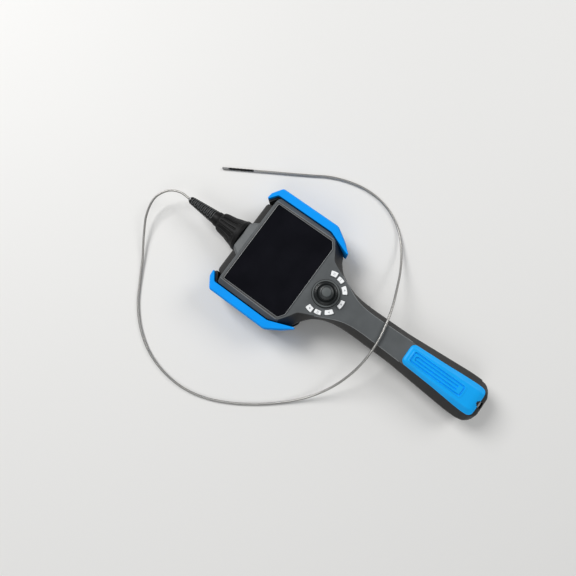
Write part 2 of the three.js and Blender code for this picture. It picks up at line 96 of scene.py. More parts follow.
def compass(azimuth, elevation):
    """The direction from the object towards something at that azimuth and elevation, in degrees."""
    around, up = radians(azimuth), radians(elevation)
    return Vector((sin(around) * cos(up), -cos(around) * cos(up), sin(up)))


def build_camera():
    lens = bpy.data.cameras.new("camera")
    lens.lens = CAMERA_LENS
    lens.clip_start = 0.01
    camera = add_object("camera", lens)
    back = compass(CAMERA_AZIMUTH, CAMERA_ELEVATION)
    camera.location = place(*CAMERA_TARGET) + back * CAMERA_DISTANCE * MM
    camera.rotation_mode = "QUATERNION"
    roll = Quaternion((0, 0, 1), radians(CAMERA_ROLL))
    camera.rotation_quaternion = (-back).to_track_quat("-Z", "Y") @ roll
    scene.camera = camera


def build_light(name, turn, elevation, distance, size, power):
    """A square soft box, turn degrees anticlockwise from the camera's side. Distance and size in metres."""
    data = bpy.data.lights.new(name, "AREA")
    data.size = size
    data.energy = power
    lamp = add_object(name, data)
    away = compass(CAMERA_AZIMUTH + turn, elevation)
    lamp.location = away * distance
    lamp.rotation_mode = "QUATERNION"
    lamp.rotation_quaternion = (-away).to_track_quat("-Z", "Y")


def build_stage():
    world = bpy.data.worlds.new("studio")
    world.use_nodes = True
    set_inputs(world.node_tree, "Background", {"Color": (0.92, 0.96, 1.0, 1), "Strength": 0.22})
    scene.world = world
    build_light("key", 205, 44, 2.6, 1.1, 48)
    build_light("side", 95, 40, 2.2, 0.9, 15)
    build_light("fill", -40, 48, 2.2, 1.2, 8)

    half, level = 2500 * MM, -0.2 * MM
    mesh = bpy.data.meshes.new("floor")
    mesh.from_pydata([(x, y, level) for x, y in rectangle(-half, half, -half, half)], [], [(0, 1, 2, 3)])
    mesh.materials.append(MATERIALS["floor"])
    add_object("floor", mesh)


# -------- materials
MATERIALS = {}


def new_material(name):
    """Adds a material to MATERIALS and gives its node tree."""
    material = MATERIALS[name] = bpy.data.materials.new(name)
    material.use_nodes = True
    return material.node_tree


def set_inputs(tree, node, inputs):
    """Sets inputs of a node: an output of another node is linked, anything else is a plain value."""
    node = tree.nodes[node] if isinstance(node, str) else node
    for name, value in inputs.items():
        if isinstance(value, bpy.types.NodeSocket):
            tree.links.new(value, node.inputs[name])
        else:
            node.inputs[name].default_value = value


def set_surface(tree, inputs):
    set_inputs(tree, "Principled BSDF", inputs)


def add_node(tree, kind, inputs):
    node = tree.nodes.new("ShaderNode" + kind)
    set_inputs(tree, node, inputs)
    return node


def object_coordinate(tree):
    return add_node(tree, "TexCoord", {}).outputs["Object"]


def noise(tree, coordinate, scale, detail):
    inputs = {"Vector": coordinate, "Scale": scale, "Detail": detail}
    return add_node(tree, "TexNoise", inputs).outputs["Fac"]


def ramp(tree, source, start, end):
    """Turns a value into a colour, between two (value, colour or grey level) ends."""
    node = add_node(tree, "ValToRGB", {"Fac": source})
    for element, (at, colour) in zip(node.color_ramp.elements, (start, end)):
        element.position = at
        element.color = (*(colour if isinstance(colour, tuple) else (colour,) * 3), 1)
    return node.outputs["Color"]


def bump(tree, height, strength, distance):
    inputs = {"Height": height, "Strength": strength, "Distance": distance * MM}
    return add_node(tree, "Bump", inputs).outputs["Normal"]


def scaled(colour, factor):
    return tuple(c * factor for c in colour)


def grained(name, colour, roughness, grain=0.22, depth=0.05, variation=0.12, specular=0.5, coat=0.0,
            metallic=0.0):
    """Moulded surface: grain of that width and depth, faint colour drift, uneven gloss."""
    tree = new_material(name)
    coordinate = object_coordinate(tree)
    drift = noise(tree, coordinate, scale=45, detail=4)
    fine = noise(tree, coordinate, scale=1 / (grain * MM), detail=2)
    low, high = scaled(colour, 1 - variation), scaled(colour, 1 + variation)
    set_surface(tree, {
        "Base Color": ramp(tree, drift, (0.3, low), (0.7, high)),
        "Roughness": ramp(tree, fine, (0.3, roughness - 0.07), (0.7, roughness + 0.07)),
        "Normal": bump(tree, fine, 0.55, depth),
        "Specular IOR Level": specular, "Coat Weight": coat, "Metallic": metallic})


def turned_metal(name, colour, roughness):
    """Machined metal with fine rings across its length and slight tarnish."""
    tree = new_material(name)
    coordinate = object_coordinate(tree)
    stretch = add_node(tree, "Mapping", {"Vector": coordinate, "Scale": (400, 6000, 400)})
    rings = noise(tree, stretch.outputs["Vector"], scale=1, detail=2)
    stain = noise(tree, coordinate, scale=160, detail=3)
    set_surface(tree, {
        "Base Color": ramp(tree, stain, (0.3, scaled(colour, 0.8)), (0.75, scaled(colour, 1.1))),
        "Roughness": ramp(tree, rings, (0.2, roughness - 0.08), (0.8, roughness + 0.12)),
        "Normal": bump(tree, rings, 0.25, 0.02),
        "Metallic": 1})


def cover_glass(name):
    """Black glass with faint smears."""
    tree = new_material(name)
    smears = noise(tree, object_coordinate(tree), scale=38, detail=5)
    set_surface(tree, {
        "Base Color": ramp(tree, smears, (0.3, (0.0025, 0.0025, 0.0045)), (0.8, (0.0055, 0.0055, 0.0085))),
        "Roughness": ramp(tree, smears, (0.45, 0.035), (0.8, 0.13)),
        "Specular IOR Level": 0.22})


def wire_braid(name, strands=8, pitch=3.2):
    """Two sets of strands crossing around the tube, from the tube's own UVs."""
    tree = new_material(name)
    uv = add_node(tree, "UVMap", {})
    uv.uv_map = "along"
    split = add_node(tree, "SeparateXYZ", {"Vector": uv.outputs["UV"]})

    def maths(operation, *values):
        node = add_node(tree, "Math", dict(enumerate(values)))
        node.operation = operation
        return node.outputs["Value"]

    lengthwise = maths("MULTIPLY", split.outputs["X"], 2 * pi / (pitch * MM) * strands / 4)
    around = maths("MULTIPLY", split.outputs["Y"], 2 * pi * strands)
    one, other = (maths("SINE", maths(sign, lengthwise, around)) for sign in ("ADD", "SUBTRACT"))
    weave = maths("MAXIMUM", one, other)
    level = maths("MULTIPLY_ADD", weave, 0.5, 0.5)
    set_surface(tree, {
        "Base Color": ramp(tree, level, (0.1, (0.09, 0.085, 0.08)), (0.5, (0.42, 0.41, 0.39))),
        "Normal": bump(tree, weave, 0.5, 0.08),
        "Metallic": 0.85, "Roughness": 0.38})


def circuit_board(name):
    """Solder mask with thin copper runs."""
    tree = new_material(name)
    brick = add_node(tree, "TexBrick", {
        "Vector": object_coordinate(tree), "Scale": 260, "Color1": (0.015, 0.1, 0.04, 1),
        "Color2": (0.02, 0.13, 0.05, 1), "Mortar": (0.09, 0.22, 0.08, 1), "Mortar Size": 0.03})
    set_surface(tree, {"Base Color": brick.outputs["Color"], "Roughness": 0.35})


def build_materials():
    """Every material, by colour and roughness. A grained one goes on with its grain's width and depth."""
    set_surface(new_material("floor"), {"Base Color": (0.80, 0.79, 0.77, 1), "Roughness": 0.7})
    grained("grey_shell", (0.096, 0.103, 0.106), 0.5, 0.28, 0.06, specular=0.3)
    grained("face_band", (0.042, 0.038, 0.037), 0.5, 0.28)
    grained("black_shell", (0.016, 0.015, 0.014), 0.58, 0.4, 0.1)
    grained("blue_rubber", (0.0, 0.315, 0.93), 0.52, 0.3, 0.04, variation=0.04, specular=0.12)
    grained("pad_rubber", (0.0, 0.39, 0.93), 0.45, 0.35, variation=0.04, specular=0.3)
    grained("seal_rubber", (0.01, 0.01, 0.01), 0.75)
    grained("black_rubber", (0.009, 0.0095, 0.009), 0.5, 0.2, 0.03, specular=0.25)
    # A lighter copy of the black rubber for the joystick's collar: painted highlight on the ring.
    grained("ring_painted_highlight", (0.115, 0.125, 0.125), 0.45, 0.2, 0.03, specular=0.4)
    # Light beads round the strain relief's slots: painted highlight on their edges.
    grained("slot_lip_painted_highlight", (0.16, 0.165, 0.165), 0.45, 0.2, 0.02)
    # A darker copy of the thumb cap's rubber for the cap's shoulder: painted shade on its sides, so the top disc
    # reads as lit.
    grained("cap_shoulder_painted_shade", (0.026, 0.03, 0.03), 0.42, 0.25, 0.03)
    grained("bellows_rubber", (0.008, 0.01, 0.01), 0.3, 0.2, 0.02, specular=0.55)
    grained("thumb_rubber", (0.09, 0.1, 0.1), 0.5, 0.25, 0.03)
    grained("black_coupling", (0.006, 0.006, 0.006), 0.5, 0.3, 0.04, specular=0.18)
    cover_glass("screen_glass")
    grained("bezel", (0.22, 0.23, 0.235), 0.34, 0.2, 0.02)
    grained("white_key", (0.95, 0.96, 0.96), 0.38, 0.25, 0.02, variation=0.03, coat=0.15)
    grained("key_print", (0.42, 0.43, 0.44), 0.5, variation=0.05)
    circuit_board("circuit_board")
    grained("display_panel", (0.28, 0.29, 0.31), 0.4, metallic=0.4)
    turned_metal("light_metal", (0.42, 0.42, 0.42), 0.36)
    turned_metal("bright_metal", (0.85, 0.87, 0.88), 0.3)
    turned_metal("steel", (0.5, 0.5, 0.51), 0.3)
    turned_metal("brass", (0.62, 0.42, 0.13), 0.28)
    grained("cell_wrap", (0.10, 0.16, 0.24), 0.3, coat=0.4)
    wire_braid("tube_braid")
    turned_metal("tip_steel", (0.3, 0.3, 0.3), 0.34)
    grained("lens", (0.004, 0.008, 0.03), 0.1, variation=0.3, coat=1.0)
    grained("lamp", (0.8, 0.78, 0.62), 0.25, coat=0.6)


# -------- mesh helpers
def is_flat_end(face):
    """A plane face with many corners, such as the end of a stack of rings."""
    middle = face.calc_center_median()
    return len(face.verts) > 12 and all(abs((v.co - middle).dot(face.normal)) < 1e-6 for v in face.verts)


def shade(mesh, sharp_degrees):
    """Smooth shading, apart from flat ends and edges sharper than the angle given."""
    bm = bmesh.new()
    bm.from_mesh(mesh)
    bmesh.ops.recalc_face_normals(bm, faces=bm.faces)
    limit = radians(sharp_degrees)
    for face in bm.faces:
        face.smooth = True
    for edge in bm.edges:
        edge.smooth = len(edge.link_faces) == 2 and edge.calc_face_angle(0) < limit
    for face in filter(is_flat_end, bm.faces):
        face.smooth = False
        for edge in face.edges:
            edge.smooth = False
    bm.to_mesh(mesh)
    bm.free()


def mesh_object(name, points, faces):
    """A closed mesh from points in millimetres, its faces turned outwards."""
    mesh = bpy.data.meshes.new(name)
    mesh.from_pydata([place(*p) for p in points], [], faces)
    bm = bmesh.new()
    bm.from_mesh(mesh)
    bmesh.ops.remove_doubles(bm, verts=bm.verts, dist=1e-6)
    bmesh.ops.dissolve_degenerate(bm, edges=bm.edges, dist=1e-7)
    bmesh.ops.recalc_face_normals(bm, faces=bm.faces)
    bm.to_mesh(mesh)
    bm.free()
    return add_object(name, mesh)


def finish_piece(made, slot, nodes=(), sharp_degrees=32, look=None, body="handset"):
    """Shades a piece, gives it the material of its look or else its slot, hangs it on its body and hides the CAD
    nodes that it stands for.
    """
    shade(made.data, sharp_degrees)
    normals = made.modifiers.new("normals", "WEIGHTED_NORMAL")
    normals.keep_sharp = True
    made.data.materials.clear()
    made.data.materials.append(MATERIALS[look or slot])
    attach(made, body)
    if nodes:
        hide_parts(*nodes)
    return made


def carve(made, cutters, operation="DIFFERENCE"):
    """Cuts or joins the other objects and removes them."""
    for cutter in cutters:
        modifier = made.modifiers.new("carve", "BOOLEAN")
        modifier.operation = operation
        modifier.solver = "EXACT"
        modifier.object = cutter
    graph = bpy.context.evaluated_depsgraph_get()
    carved = bpy.data.meshes.new_from_object(made.evaluated_get(graph))
    made.modifiers.clear()
    made.data = carved
    for cutter in cutters:
        bpy.data.objects.remove(cutter)
    return made


def loft(name, rings, wrap=False):
    """Joins rings of equal length into a closed body, with flat ends, or round on itself."""
    count = len(rings[0])
    points = [p for ring in rings for p in ring]
    faces = []
    spans = len(rings) if wrap else len(rings) - 1
    for s in range(spans):
        here, there = s * count, (s + 1) % len(rings) * count
        for k in range(count):
            after = (k + 1) % count
            faces.append((here + k, here + after, there + after, there + k))
    if not wrap:
        last = (len(rings) - 1) * count
        faces.append(tuple(range(count)))
        faces.append(tuple(reversed(range(last, last + count))))
    return mesh_object(name, points, faces)


def spun(name, profile, sides=64, centre=(0, 0, 0), axis="Z", ring=False, radius_at=None):
    """Turns a profile of (radius, height) about an axis. radius_at(r, h, angle) may change a radius."""
    rings = []
    for radius, height in profile:
        points = []
        for k in range(sides):
            angle = 2 * pi * k / sides
            r = max(radius_at(radius, height, angle) if radius_at else radius, 1e-4)
            a, b = polar(r, angle)
            offset = (a, b, height) if axis == "Z" else (b, height, a)
            points.append(tuple(c + o for c, o in zip(centre, offset)))
        rings.append(points)
    return loft(name, rings, wrap=ring)


def polar(radius, angle, centre=(0, 0)):
    return centre[0] + radius * cos(angle), centre[1] + radius * sin(angle)


def circle(middle, across, other, radius, sides):
    """A ring of points about a middle, in the plane of two directions."""
    return [tuple(middle + (across * cos(a) + other * sin(a)) * radius)
            for a in (2 * pi * k / sides for k in range(sides))]


def corner_arc(before, corner, after, radius, steps=5):
    """Points that round a corner off, starting and ending radius away from it."""
    here = Vector(corner)
    arms = []
    for end in (Vector(before), Vector(after)):
        arm = end - here
        reach = min(radius, arm.length * 0.45)
        arms.append(here + arm.normalized() * reach if arm.length > 1e-9 else here)
    start, end = arms
    curve = []
    for i in range(steps):
        t = i / (steps - 1)
        curve.append(start * (1 - t) ** 2 + here * 2 * t * (1 - t) + end * t * t)
    return [tuple(p) for p in curve]


def rounded(outline, radius, steps=5):
    """A closed outline with every corner rounded, by one radius or a list of them."""
    n = len(outline)
    radii = radius if isinstance(radius, (list, tuple)) else [radius] * n
    return [p for i in range(n)
            for p in corner_arc(outline[i - 1], outline[i], outline[(i + 1) % n], radii[i], steps)]


def side_curve(corners):
    """An open line through (x, z, radius) corners, rounded at each one but the ends."""
    points = [tuple(corners[0][:2])]
    for i in range(1, len(corners) - 1):
        points += corner_arc(corners[i - 1][:2], corners[i][:2], corners[i + 1][:2], corners[i][2])
    points.append(tuple(corners[-1][:2]))
    return points


def offset_outline(outline, distance):
    """A closed outline moved outwards, or inwards for a negative distance."""
    area = sum(a[0] * b[1] - b[0] * a[1] for a, b in zip(outline, outline[1:] + outline[:1]))
    turn = 1 if area > 0 else -1
    moved = []
    for i, here in enumerate(outline):
        before, after = outline[i - 1], outline[(i + 1) % len(outline)]
        one = Vector((here[1] - before[1], before[0] - here[0])).normalized() * turn
        two = Vector((after[1] - here[1], here[0] - after[0])).normalized() * turn
        push = (one + two) / max(0.35, 1 + one.dot(two)) * distance
        moved.append((here[0] + push.x, here[1] + push.y))
    return moved


def stacked(name, outline, profile, ground=lambda y: 0.0, wrap=False):
    """Carries an outline through a profile of (offset outwards, height), and back to its start if wrap."""
    rings = [[(x, y, z + ground(y)) for x, y in offset_outline(outline, out)] for out, z in profile]
    return loft(name, rings, wrap)


def rectangle(x0, x1, y0, y1):
    return [(x0, y0), (x1, y0), (x1, y1), (x0, y1)]


def cylinder(radius, low, high, centre=(0, 0, 0), axis="Z", sides=64):
    return spun("cutter", [(radius, low), (radius, high)], sides, centre, axis)


def along(line, y):
    """The value at y of a line of (y, value) corners, straight in between."""
    if y >= line[0][0]:
        return line[0][1]
    for (y1, v1), (y2, v2) in zip(line, line[1:]):
        if y >= y2:
            return v1 + (v2 - v1) * (y1 - y) / (y1 - y2)
    return line[-1][1]


def eased(line, y, reach=None):
    """What along() gives, with the line's corners rounded over reach each way: most in the neck."""
    if reach is None:
        head_reach, neck_more, neck_starts = 2.2, 6, 14
        reach = head_reach + neck_more * min(1, max(0, (neck_starts - y) / neck_starts))
    samples = 9
    return sum(along(line, y + reach * (2 * i / (samples - 1) - 1)) for i in range(samples)) / samples


def rounding(distance, radius):
    """How far a surface has drawn in at that distance from an end rounded to radius."""
    if distance >= radius:
        return 0.0
    short = radius - max(distance, 0)
    return radius - sqrt(radius * radius - short * short)


# -------- the shells' driving lines
# Each EDGE, HEIGHT, WIDTH, TOP, RISE or TAPER is a line of (y, half width or height) corners.
OUTER_EDGE = [(HEAD_TOP_Y, 50), (116.5, 51.5), (109.5, 62), (37, 62), (10, 52), (3.5, 36.2), (-8, 28),
              (-22, 22.2), (-36, 20), (-50, 19.4), (-105, 20.2), (-129, 22), (-160, 24.2), (-188, 26.2),
              (HOUSING_END_Y, 25.8)]
FACE_EDGE = [(SHELF_Y, 55.5), (27, 56.5), (20, 46.5), (13.5, 36), (4.5, 31.5), (-8, 26.5), (-19, 21),
             (-29, 16), (-41, 13), (-56, 12), (-78, 12.5), (-112, 13.5), (-160, 15.5), (HOUSING_END_Y, 16)]
FACE_HEIGHT = [(SHELF_Y, PANEL_Z), (-19, PANEL_Z), (-29, 45), (-41, 43), (-56, 41.5), (-112, 40.5),
               (HOUSING_END_Y, 39)]
SHOULDER_HEIGHT = [(SHELF_Y, 40), (27, 40), (12, 30), (4, 36), (-8, 39), (-19, 38), (-29, 35), (-41, 32),
                   (-62, 29.5), (HOUSING_END_Y, 28)]
BACK_EDGE = [(HEAD_TOP_Y, 40), (112, 56), (34, 56), (12, 44), (4, 30), (-8, 20), (-22, 14), (-36, 11),
             (-50, 11), (-112, 12), (-160, 14), (HOUSING_END_Y, 14)]
BACK_HEIGHT = [(HEAD_TOP_Y, 3), (114, 0), (14, 0), (-6, 4), (-30, 7), (-62, 7), (-112, 3.5), (-150, 0),
               (-190, 0), (HOUSING_END_Y, 1.5)]
RIM_END_Y = 6
RIM_EDGE = [(HEAD_TOP_Y, 52), (111.5, 71.3), (34.5, 71.3), (10, 53.5), (RIM_END_Y, 46)]
RIM_TOP_Z = 13.7
GLASS_ROUND = 1.2
GLASS_OUTLINE = [(-53, 104.7), (-53, 29), (-45.8, 24), (45.8, 24), (53, 29), (53, 104.7)]
# The keys' angles from the grip's direction, and (radius, width, depth) for each angle on either side.
KEY_ANGLES = [-102, -78, -45, 0, 45, 78, 102]
KEY_PLACES = {0: (21, 9.8, 5), 45: (21.4, 9.6, 5.6), 78: (22.7, 7.8, 5.2), 102: (24.3, 7.7, 6.4)}
# The tube's middle line, from the strain relief over the grip to the steerable end.
TUBE_ROUTE = [
    (0, 206.3, 24), (0, 221, 23.4), (-7, 236, 21.2), (-24, 246.5, 17), (-47, 244.5, 11.5), (-71, 232.5, 6.6),
    (-95, 217, 3.2), (-119, 202.5, 1.7), (-144, 186, 1.6), (-166, 164, 1.6), (-182.5, 137, 1.6),
    (-191, 107, 1.6), (-192, 76, 1.6), (-185, 46, 1.6), (-171, 17, 1.6), (-152, -11, 1.6), (-130, -36, 2.4),
    (-106, -56, 7.2), (-80, -69.5, 17.5), (-54, -76.5, 30), (-30, -78.5, 39.9), (-8, -77.5, 43.8),
    (10, -74.5, 43.8), (31, -70, 39.6), (54, -63.5, 29), (77, -56, 17.5), (99, -45.5, 8), (119, -30.5, 2.8),
    (134, -10.5, 1.6), (142.5, 13, 1.6), (144, 38, 1.6), (139.5, 62.5, 1.6), (131, 85, 1.6), (120, 104, 1.6),
    (108, 124.46, 1.6), (84, 166.03, 1.6)]


def stations(start, end, step, extra=()):
    """Values of y from start down to end, closer together near each of the extra ones."""
    count = max(2, round((start - end) / step))
    values = {round(start + (end - start) * i / count, 3) for i in range(count + 1)}
    for y in extra:
        values |= {round(y + d, 3) for d in (-1.6, -0.8, 0, 0.8, 1.6) if end <= y + d <= start}
    return sorted(values, reverse=True)


# -------- insertion tube
def curve_through(route, step):
    """Points every step or so on the smooth curve through a route."""
    points = [Vector(p) for p in route]
    first, last = points[0] * 2 - points[1], points[-1] * 2 - points[-2]
    padded = [first, *points, last]
    found = []
    for a, b, c, d in zip(padded, padded[1:], padded[2:], padded[3:]):
        parts = max(2, round((c - b).length / step))
        for i in range(parts):
            t = i / parts
            found.append(0.5 * ((2 * b) + (c - a) * t + (2 * a - 5 * b + 4 * c - d) * t * t
                                + (3 * b - a - 3 * c + d) * t ** 3))
    return found + [points[-1]]


def tube_mesh(name, path, radius, sides=16):
    """A round tube along a path, with UVs: metres along it, and turns around it."""
    across = Vector((0, 0, 1))
    rings, lengths, travelled = [], [], 0.0
    for i, here in enumerate(path):
        ahead, behind = path[min(i + 1, len(path) - 1)], path[max(i - 1, 0)]
        heading = (ahead - behind).normalized()
        across = (across - heading * across.dot(heading)).normalized()
        if i:
            travelled += (here - path[i - 1]).length * MM
        lengths.append(travelled)
        rings.append(circle(here, across, heading.cross(across), radius, sides))
    made = loft(name, rings)
    layer = made.data.uv_layers.new(name="along")
    for polygon in made.data.polygons:
        corners = [(made.data.loops[i].vertex_index, i) for i in polygon.loop_indices]
        turns = [(vertex % sides) / sides for vertex, _ in corners]
        wraps = max(turns) - min(turns) > 0.5
        for (vertex, loop), turn in zip(corners, turns):
            layer.data[loop].uv = (lengths[vertex // sides], turn + (1 if wraps and turn < 0.5 else 0))
    return made


def build_tube():
    path = curve_through(TUBE_ROUTE, 3.0)
    tube = tube_mesh("insertion_tube_braided", path, TUBE_DIAMETER / 2)
    finish_piece(tube, "tube_braid", ["insertion_tube"], 60)
    length = sum((b - a).length for a, b in zip(path, path[1:])) * MM
    return tube, length


# -------- shells
PARTING_HALF = 0.8
HEAD_ROUND = 1.6
FACE_ROUND = 1.1
SHELF_Z = 30.5
THROUGH_FACE = [(0, 38), (0, 60)]


def section(corners, y):
    """A full ring at y from its right side's (x, z, radius) corners. The ends on x = 0 are left out."""
    side = [p for p in side_curve(corners) if p[0] > 1e-9]
    return [(x, y, z) for x, z in side] + [(-x, y, z) for x, z in reversed(side)]


def front_ring(y, inset, base, top_inset=None):
    end = rounding(HEAD_TOP_Y - y, HEAD_ROUND)
    w = eased(OUTER_EDGE, y) - inset - end
    if y > SHELF_Y - inset:
        top = SHELF_Z - inset - end * 0.5
        return section([(w, base), (w, top - 1.5, 0.8), (w - 1.5, top, 0.8), (0, top)], y)
    lip = rounding(SHELF_Y - inset - y, 0.9)
    top = eased(FACE_HEIGHT, y) - (inset if top_inset is None else top_inset) - lip
    t = eased(FACE_EDGE, y) - inset * 0.6 - lip
    shoulder = eased(SHOULDER_HEIGHT, y) - inset * 0.5
    shoulder_round = 1 + 3 * min(1, max(0, (20 - y) / 40))
    return section([(w, base), (w, shoulder, shoulder_round), (t, top, FACE_ROUND), (0, top)], y)


def front_solid(name, inset=0.0, base=PARTING_Z + PARTING_HALF, thick_top=None, step=2.4):
    """The front shell's outer shape as a full body, or its hollow with an inset."""
    step_y = SHELF_Y - inset
    upper = stations(HEAD_TOP_Y - inset, step_y + 0.05, 1.5, [HEAD_TOP_Y])
    lower = stations(step_y, HOUSING_END_Y + inset, step, [step_y, 37, 27, 10])
    rings = [front_ring(y, inset, base) for y in upper]
    rings += [front_ring(y, inset, base, thick_top(y) if thick_top else None) for y in lower]
    return loft(name, rings)


def boss_solid():
    """The raised housing between the screen and the coupling."""
    rings = []
    foot = PARTING_Z + PARTING_HALF
    for y in (BOSS_END_Y, 120.4, 120.1, 119.6, 119, 116, 113, SHELF_Y, 108.5):
        end = rounding(BOSS_END_Y - y, 1.3)
        w = along([(BOSS_END_Y, 18.5), (SHELF_Y, 25), (108.5, 25.6)], y) - end
        top = along([(BOSS_END_Y, 41), (SHELF_Y, 44), (108.5, 44)], y) - end
        rings.append(section([(w, foot), (w, top - 5, 1.2), (w - 3, top, 1.2), (0, top)], y))
    return loft("boss", rings)


def key_outline(angle, grow=0.0, corner=1.1):
    """Part of a ring round the joystick, at that angle from the grip's direction."""
    radius, across, deep = KEY_PLACES[abs(angle)]
    middle = radians(angle - 90)
    half = (across / 2 + grow) / radius
    outline = []
    for r, sign in ((radius + deep / 2 + grow, 1), (radius - deep / 2 - grow, -1)):
        outline += [polar(r, middle + sign * half * (i / 2 - 1)) for i in range(5)]
    corners = [corner if i in (0, 4, 5, 9) else 0.05 for i in range(10)]
    return rounded(outline, corners, 5)


def coupling_bores():
    return [cylinder(12.4, 104, 130, **COUPLING), cylinder(15.4, 104, HEAD_TOP_Y - WALL, **COUPLING)]


def split_off(made, name, chosen):
    """Moves the faces whose middle chosen() picks into an object of their own."""
    other = add_object(name, made.data.copy())
    for mesh, keep in ((made.data, False), (other.data, True)):
        bm = bmesh.new()
        bm.from_mesh(mesh)
        doomed = [face for face in bm.faces if chosen(face.calc_center_median()) != keep]
        bmesh.ops.delete(bm, geom=doomed, context="FACES")
        bm.to_mesh(mesh)
        bm.free()
    return other


def is_painted_shade_face(middle):
    """Faces painted dark as shade: the neck's and grip's flanks, and the step either side of the boss."""
    x, y, z = abs(middle.x) / MM, middle.y / MM - JOYSTICK_Y, middle.z / MM
    if y > SHELF_Y + 0.03:
        return x > along([(BOSS_END_Y, 18.3), (SHELF_Y, 24.8)], y) or z < 30
    return y < 26 and x > eased(FACE_EDGE, y) - 0.3


def build_front_shell():
    shell = carve(front_solid("front_shell_grey"), [boss_solid()], "UNION")
    face_wall, joystick_hole, key_gap = 3.9, 13.9, 0.3
    hollow = front_solid("hollow", WALL, 15, lambda y: face_wall if y > 12 else WALL, step=5)
    cutters = [hollow, stacked("recess", rounded(GLASS_OUTLINE, GLASS_ROUND), [(0.35, 44.1), (0.35, 60)]),
               stacked("window", rectangle(-50, 50, 28, 101), THROUGH_FACE),
               cylinder(joystick_hole, 30, 60, sides=96), *coupling_bores()]
    cutters += [stacked("key_hole", key_outline(a, key_gap), THROUGH_FACE) for a in KEY_ANGLES]
    carve(shell, cutters)
    # These flanks and the step get the dark shell's colour as painted shade.
    sides = split_off(shell, "front_shell_painted_shade_sides", is_painted_shade_face)
    finish_piece(shell, "grey_shell", ["front_housing"], 40)
    finish_piece(sides, "black_shell", (), 40)


def rear_ring(y, inset, top):
    end = rounding(HEAD_TOP_Y - y, HEAD_ROUND)
    w = eased(OUTER_EDGE, y) - inset - end
    low = eased(BACK_HEIGHT, y) + inset + end * 0.5
    b = eased(BACK_EDGE, y) - inset * 0.6 - end
    return section([(0, low), (b, low, 3), (w - 1.5, low + 9 - inset * 0.5, 3), (w, 19, 3), (w, top)], y)


def rear_solid(name, inset=0.0, top=PARTING_Z - PARTING_HALF, step=2.4):
    ys = stations(HEAD_TOP_Y - inset, HOUSING_END_Y + inset, step, [HEAD_TOP_Y, 114, 37, 10])
    return loft(name, [rear_ring(y, inset, top) for y in ys])


def rim_solid():
    """The rim around the head's back that carries the bumpers."""
    rings = []
    for y in stations(HEAD_TOP_Y, RIM_END_Y, 3, [HEAD_TOP_Y, 111.5, 34.5, 10, RIM_END_Y]):
        end = rounding(HEAD_TOP_Y - y, 1) + rounding(y - RIM_END_Y, 1)
        w = eased(RIM_EDGE, y, 1.2) - end
        low = 0.02 + end * 0.5
        rings.append(section([(0, low), (w - 9, low, 1), (w, 7, 2), (w, RIM_TOP_Z, 0.8),
                              (w - 12, RIM_TOP_Z)], y))
    return loft("rim", rings)


BUSH_PLACE = (0, 45, 0)
SCREW_PLACES = [(sign * x, y) for x, y in ((55, 99), (55, 41), (9, -62)) for sign in (1, -1)]


def build_rear_shell():
    shell = carve(rear_solid("rear_shell_textured"), [rim_solid()], "UNION")
    cutters = [rear_solid("hollow", WALL, 40, 5), *coupling_bores(), cylinder(5.8, -1, 10.3, BUSH_PLACE)]
    label = rounded(rectangle(-24, 24, 66, 96), 3)
    cutters.append(stacked("label_recess", label, [(0, -1), (0, 0.5)]))
    for x, y in SCREW_PLACES:
        low = along(BACK_HEIGHT, y)
        cutters.append(cylinder(3.2, low - 1, low + 3.1, (x, y, 0), sides=32))
    carve(shell, cutters)
    finish_piece(shell, "black_shell", ["rear_housing"], 40)


def build_seal():
    """The gasket that shows as a dark line in the parting."""
    ys = stations(HEAD_TOP_Y, HOUSING_END_Y, 3, [HEAD_TOP_Y])
    right = [(eased(OUTER_EDGE, y) - rounding(HEAD_TOP_Y - y, HEAD_ROUND), y) for y in ys]
    outline = right + [(-x, y) for x, y in reversed(right)]
    low, high = PARTING_Z - 0.72, PARTING_Z + 0.72
    profile = [(-0.6, low), (-0.6, high), (-1.9, high), (-1.9, low)]
    seal = stacked("parting_seal", outline, profile, wrap=True)
    carve(seal, [cylinder(12.7, 100, 130, **COUPLING)])
    finish_piece(seal, "seal_rubber", ["housing_seal"])


def build_edge_highlights():
    """Painted highlights: light beads along the grip's top edges and down the sides of the face, where those edges
    catch the light.
    """
    for name, start, end, sink, radius in (("grip", -4, -109.5, 0.06, 0.3), ("face", 109, 29, 0.02, 0.42)):
        for side, hand in ((1, "right"), (-1, "left")):
            path = []
            for y in stations(start, end, 2.4):
                w, t = eased(OUTER_EDGE, y), eased(FACE_EDGE, y)
                top, shoulder = eased(FACE_HEIGHT, y), eased(SHOULDER_HEIGHT, y)
                x, z = corner_arc((w, shoulder), (t, top), (0, top), FACE_ROUND)[2]
                path.append(Vector((side * (x + 0.1), y, z - sink)))
            bead = tube_mesh(f"{name}_edge_highlight_{hand}", path, radius, 8)
            # The beads take the light bezel grey as painted highlight.
            finish_piece(bead, "bezel", (), 60)


# -------- screws and tripod bush
def build_screws():
    for i, (x, y) in enumerate(SCREW_PLACES):
        low = along(BACK_HEIGHT, y) + 0.6
        head, tip = low + 2.1, low + 18
        profile = [(0, low), (2.3, low), (2.75, low + 0.45), (2.8, head), (1.4, head), (1.4, tip), (0, tip)]
        screw = spun(f"shell_screw_{i + 1}", profile, 40, (x, y, 0))
        carve(screw, [cylinder(1.35, low - 1, low + 1.5, (x, y, 0), sides=6)])
        finish_piece(screw, "steel", [f"housing_screw_{i + 1}"])


def build_tripod_bush():
    """A threaded brass insert in the back."""
    bore, thread_depth, half_pitch = 3.2, 0.5, 0.32
    threads = [(bore + (thread_depth if i % 2 else 0), 0.9 + i * half_pitch) for i in range(28)]
    profile = [(5.5, 0.5), (5.3, 0.3), (3.9, 0.3), *threads, (5.5, 10)]
    bush = spun("tripod_thread_insert", profile, 48, BUSH_PLACE, ring=True)
    finish_piece(bush, "brass", ["tripod_bush"])


# -------- screen
ON_FACE_Z = PANEL_Z + 0.03


